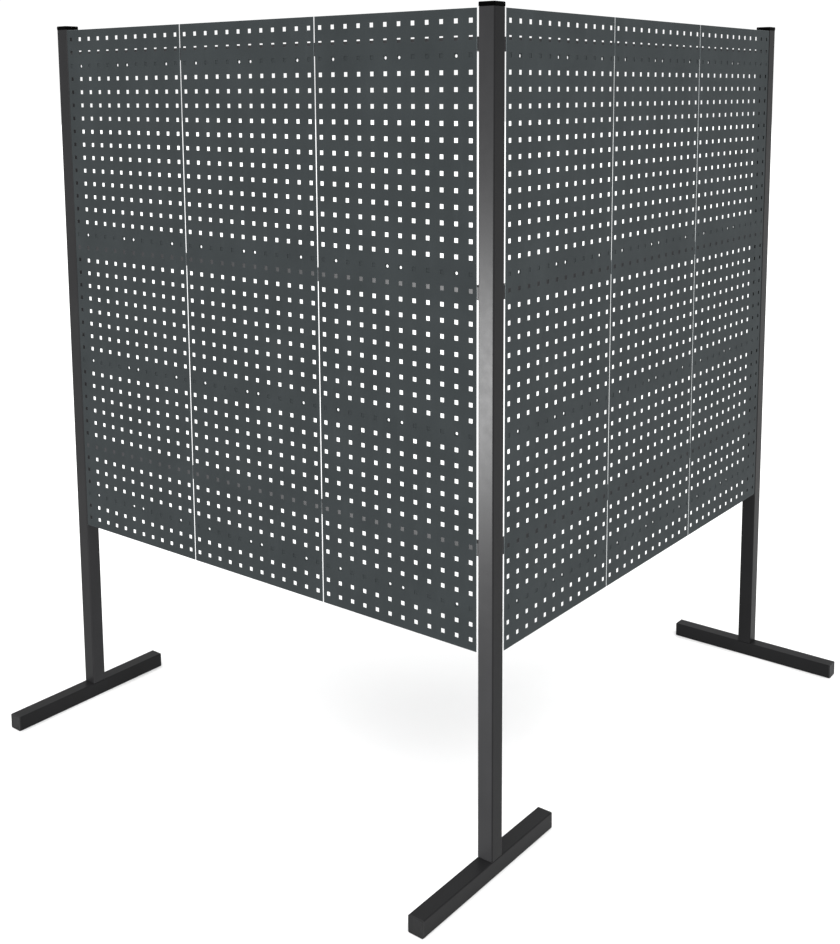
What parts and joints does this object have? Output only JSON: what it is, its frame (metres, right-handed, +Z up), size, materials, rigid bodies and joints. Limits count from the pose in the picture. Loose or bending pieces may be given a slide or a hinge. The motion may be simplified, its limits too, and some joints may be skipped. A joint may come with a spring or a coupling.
{
  "type": "perforated panel corner partition",
  "caption": "Free-standing corner partition: square-tube posts on straight feet, cross rails, and perforated steel panels closing the outer side of both wings.",
  "frame": {"origin": "on the floor, under the middle of the corner post, on the underside of the corner foot", "axes": "+Z up; +X along the right wing and +Y along the left wing, seen from outside the corner; the panels' outer faces look towards -Y and -X"},
  "size_m": [1.6908, 1.6908, 1.9166],
  "materials": {
    "frame": "smooth satin powder coat, dark grey",
    "panel": "fine-textured matt powder coat, anthracite grey",
    "post_cap": "moulded black plastic, satin",
    "foot_plug": "moulded dark grey plastic, matt",
    "fastener": "zinc plated"
  },
  "bodies": {
    "root": {"corner_post": "frame", "corner_foot": "frame", "corner_post_cap": "post_cap", "corner_foot_lock_screw": "fastener", "corner_foot_outer_plug": "foot_plug", "corner_foot_inner_plug": "foot_plug", "left_post": "frame", "left_foot": "frame", "left_post_cap": "post_cap", "left_foot_lock_screw": "fastener", "left_foot_outer_plug": "foot_plug", "left_foot_inner_plug": "foot_plug", "right_post": "frame", "right_foot": "frame", "right_post_cap": "post_cap", "right_foot_lock_screw": "fastener", "right_foot_outer_plug": "foot_plug", "right_foot_inner_plug": "foot_plug", "left_top_rail": "frame", "left_top_rail_corner_bracket": "frame", "left_top_rail_end_bracket": "frame", "left_middle_rail": "frame", "left_middle_rail_corner_bracket": "frame", "left_middle_rail_end_bracket": "frame", "left_lower_rail": "frame", "left_lower_rail_corner_bracket": "frame", "left_lower_rail_end_bracket": "frame", "left_panel_1": "panel", "left_panel_1_top_screw": "fastener", "left_panel_1_middle_screw": "fastener", "left_panel_1_lower_screw": "fastener", "left_panel_2": "panel", "left_panel_2_top_screw": "fastener", "left_panel_2_middle_screw": "fastener", "left_panel_2_lower_screw": "fastener", "left_panel_3": "panel", "left_panel_3_top_screw": "fastener", "left_panel_3_middle_screw": "fastener", "left_panel_3_lower_screw": "fastener", "right_top_rail": "frame", "right_top_rail_corner_bracket": "frame", "right_top_rail_end_bracket": "frame", "right_middle_rail": "frame", "right_middle_rail_corner_bracket": "frame", "right_middle_rail_end_bracket": "frame", "right_lower_rail": "frame", "right_lower_rail_corner_bracket": "frame", "right_lower_rail_end_bracket": "frame", "right_panel_1": "panel", "right_panel_1_top_screw": "fastener", "right_panel_1_middle_screw": "fastener", "right_panel_1_lower_screw": "fastener", "right_panel_2": "panel", "right_panel_2_top_screw": "fastener", "right_panel_2_middle_screw": "fastener", "right_panel_2_lower_screw": "fastener", "right_panel_3": "panel", "right_panel_3_top_screw": "fastener", "right_panel_3_middle_screw": "fastener", "right_panel_3_lower_screw": "fastener"}
  },
  "joints": []
}
